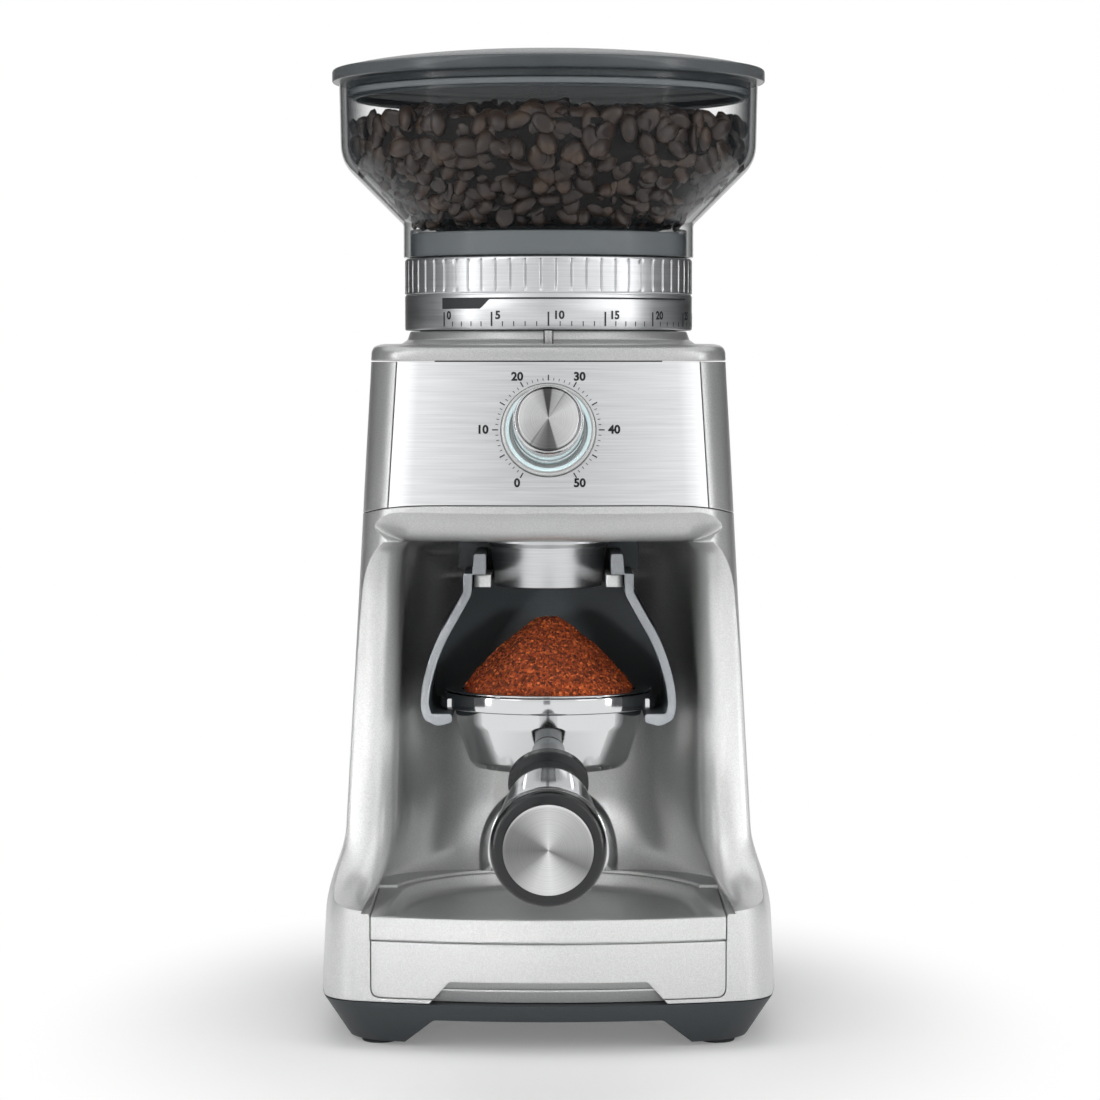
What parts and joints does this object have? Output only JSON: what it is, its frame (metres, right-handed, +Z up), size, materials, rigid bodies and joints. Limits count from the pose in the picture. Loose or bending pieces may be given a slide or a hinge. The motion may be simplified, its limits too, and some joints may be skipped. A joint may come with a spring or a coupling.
{
  "type": "burr coffee grinder",
  "caption": "Upright electric burr coffee grinder: smoked bean hopper on a fluted grind collar, dose dial, portafilter cradle in an open alcove, pull-out grinds tray.",
  "frame": {"origin": "bottom centre of the whole grinder's box, on the surface it stands on", "axes": "+Z up along the burr axis, -Y towards the front with the dial and the portafilter handle, +X to the right seen from the front"},
  "size_m": [0.1526, 0.3102, 0.3311],
  "materials": {
    "silver_abs": "satin metallic silver",
    "brushed_steel": "brushed",
    "polished_steel": "polished",
    "dark_abs": "fine moulded texture",
    "black_abs": "satin",
    "smoked_clear": "smoked, clear",
    "smoked_lid": "smoked, satin",
    "soft_seal": "matte",
    "rubber": "matte",
    "bean_brown": "oily roasted",
    "grounds_brown": "dry, crumbly",
    "lamp_white": "lit diffuser",
    "board_green": "solder mask",
    "bronze": "sintered",
    "nylon": "moulded",
    "steel": "machined"
  },
  "bodies": {
    "housing": {"base_pan": "dark_abs", "foot_pad_front_left": "rubber", "foot_pad_front_right": "rubber", "foot_pad_rear_left": "rubber", "foot_pad_rear_right": "rubber", "lower_housing": "silver_abs", "front_plate": "silver_abs", "rear_cover": "silver_abs", "cord_gland": "rubber", "head_housing": "silver_abs", "top_cap": "silver_abs", "index_pointer": "black_abs", "control_panel": "brushed_steel", "light_ring": "lamp_white", "encoder_body": "black_abs", "circuit_board": "board_green", "gear_case": "dark_abs", "lower_bush": "bronze", "upper_bearing": "steel", "idler_axle": "steel", "motor_can": "steel", "burr_chamber": "dark_abs", "outlet_spout": "brushed_steel", "grind_chute": "black_abs", "cradle_rail": "silver_abs", "microswitch": "black_abs"},
    "grind_collar": {"grind_collar": "brushed_steel", "adjusting_ring": "nylon", "burr_carrier": "dark_abs", "ring_burr": "polished_steel", "carrier_handle": "steel"},
    "hopper": {"hopper": "smoked_clear", "coffee_beans": "bean_brown"},
    "lid": {"hopper_lid": "smoked_lid", "lid_seal": "soft_seal"},
    "dial_rotor": {"encoder_rotor": "steel"},
    "dial": {"dial_shaft": "steel", "dial_knob": "polished_steel", "dial_face": "brushed_steel"},
    "cradle": {"cradle": "dark_abs"},
    "portafilter": {"portafilter_bowl": "polished_steel", "filter_basket": "polished_steel", "ground_coffee": "grounds_brown", "double_spout": "polished_steel", "handle_neck": "polished_steel", "handle_ring": "black_abs", "handle_ferrule": "polished_steel", "handle_grip": "black_abs", "handle_end_disc": "brushed_steel"},
    "tray": {"grinds_tray": "silver_abs"},
    "trigger": {"dose_trigger": "black_abs"},
    "burr_drive": {"burr_shaft": "steel", "output_gear": "nylon", "impeller": "black_abs", "cone_burr": "polished_steel", "burr_nut": "steel"},
    "idler": {"idler_gear": "nylon"},
    "motor_rotor": {"motor_shaft": "steel", "motor_pinion": "bronze"}
  },
  "joints": [
    {"name": "grind_collar_turn", "type": "hinge", "parent": "housing", "child": "grind_collar", "pos_m": [0, 0.04905, 0.2468], "axis": [0, 0, 1], "range_deg": [-225, 45]},
    {"name": "hopper_lift", "type": "slide", "parent": "grind_collar", "child": "hopper", "axis": [0, 0, 1], "range_m": [0, 0.08]},
    {"name": "lid_lift", "type": "slide", "parent": "hopper", "child": "lid", "axis": [0, 0, 1], "range_m": [0, 0.06]},
    {"name": "dose_dial_turn", "type": "hinge", "parent": "housing", "child": "dial_rotor", "pos_m": [0, -0.03501, 0.2011], "axis": [0, -0.9778, 0.2096], "range_deg": [-150, 150]},
    {"name": "dose_dial_press", "type": "slide", "parent": "dial_rotor", "child": "dial", "axis": [0, 0.9778, -0.2096], "range_m": [0, 0.0015], "stiffness_N_per_m": 900},
    {"name": "cradle_slide", "type": "slide", "parent": "housing", "child": "cradle", "axis": [0, -1, 0], "range_m": [0, 0.07]},
    {"name": "portafilter_slide", "type": "slide", "parent": "cradle", "child": "portafilter", "axis": [0, -1, 0], "range_m": [0, 0.1]},
    {"name": "tray_slide", "type": "slide", "parent": "housing", "child": "tray", "axis": [0, -1, 0], "range_m": [0, 0.11]},
    {"name": "dose_trigger_press", "type": "slide", "parent": "housing", "child": "trigger", "axis": [0, 1, 0], "range_m": [0, 0.0025], "stiffness_N_per_m": 400},
    {"name": "burr_spin", "type": "hinge", "parent": "housing", "child": "burr_drive", "pos_m": [0, 0.04905, 0.2], "axis": [0, 0, 1], "continuous": true},
    {"name": "idler_spin", "type": "hinge", "parent": "housing", "child": "idler", "pos_m": [0.01913, 0.07307, 0.176], "axis": [0, 0, 1], "continuous": true},
    {"name": "motor_spin", "type": "hinge", "parent": "housing", "child": "motor_rotor", "pos_m": [0, 0.10105, 0.172], "axis": [0, 0, 1], "continuous": true}
  ],
  "couplings": [
    {"joint": "idler_spin", "follows": "burr_spin", "ratio": -2.1667},
    {"joint": "motor_spin", "follows": "burr_spin", "ratio": 5.4167}
  ]
}
